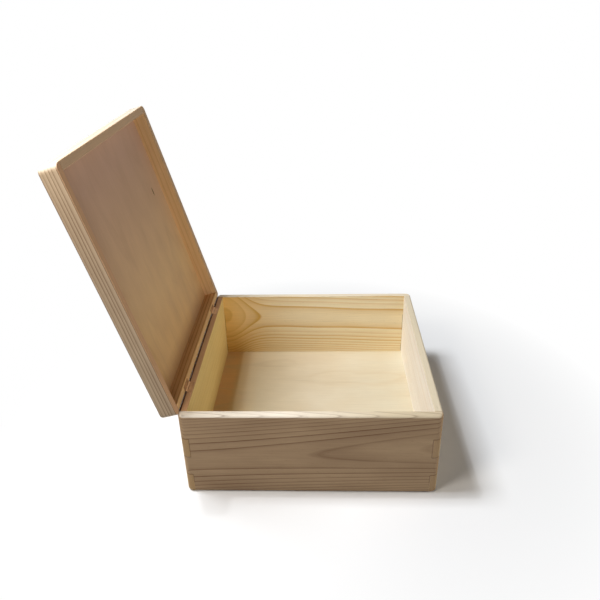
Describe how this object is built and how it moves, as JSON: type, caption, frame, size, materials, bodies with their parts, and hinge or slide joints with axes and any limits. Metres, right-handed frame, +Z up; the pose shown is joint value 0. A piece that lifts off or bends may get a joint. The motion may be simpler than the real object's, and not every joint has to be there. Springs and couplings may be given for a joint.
{
  "type": "wooden toy box",
  "caption": "Square pine box with finger-jointed corners, a plywood bottom and a framed lid on two butt hinges, stored open.",
  "frame": {"origin": "centre of the base, on the surface that the box stands on", "axes": "+Z up, -Y towards the front where the lid opens, +X to the right as seen from the front; the hinges are at +Y"},
  "size_m": [0.3, 0.3951, 0.4028],
  "materials": {
    "pine": "bare sanded pine",
    "plywood": "bare sanded plywood",
    "hinge_brass": "satin brass-plated steel",
    "hinge_pin": "drawn steel wire"
  },
  "bodies": {
    "box": {"front_wall": "pine", "rear_wall": "pine", "left_wall": "pine", "right_wall": "pine", "bottom_panel": "plywood", "left_hinge_body_leaf": "hinge_brass", "right_hinge_body_leaf": "hinge_brass", "left_hinge_pin": "hinge_pin", "right_hinge_pin": "hinge_pin", "body_hinge_screws": "hinge_brass"},
    "lid": {"lid_front_wall": "pine", "lid_rear_wall": "pine", "lid_left_wall": "pine", "lid_right_wall": "pine", "lid_panel": "plywood", "left_hinge_lid_leaf": "hinge_brass", "right_hinge_lid_leaf": "hinge_brass", "lid_hinge_screws": "hinge_brass"}
  },
  "joints": [
    {"name": "lid_hinge", "type": "hinge", "parent": "box", "child": "lid", "pos_m": [0, 0.14852, 0.1147], "axis": [1, 0, 0], "range_deg": [0, 105]}
  ]
}
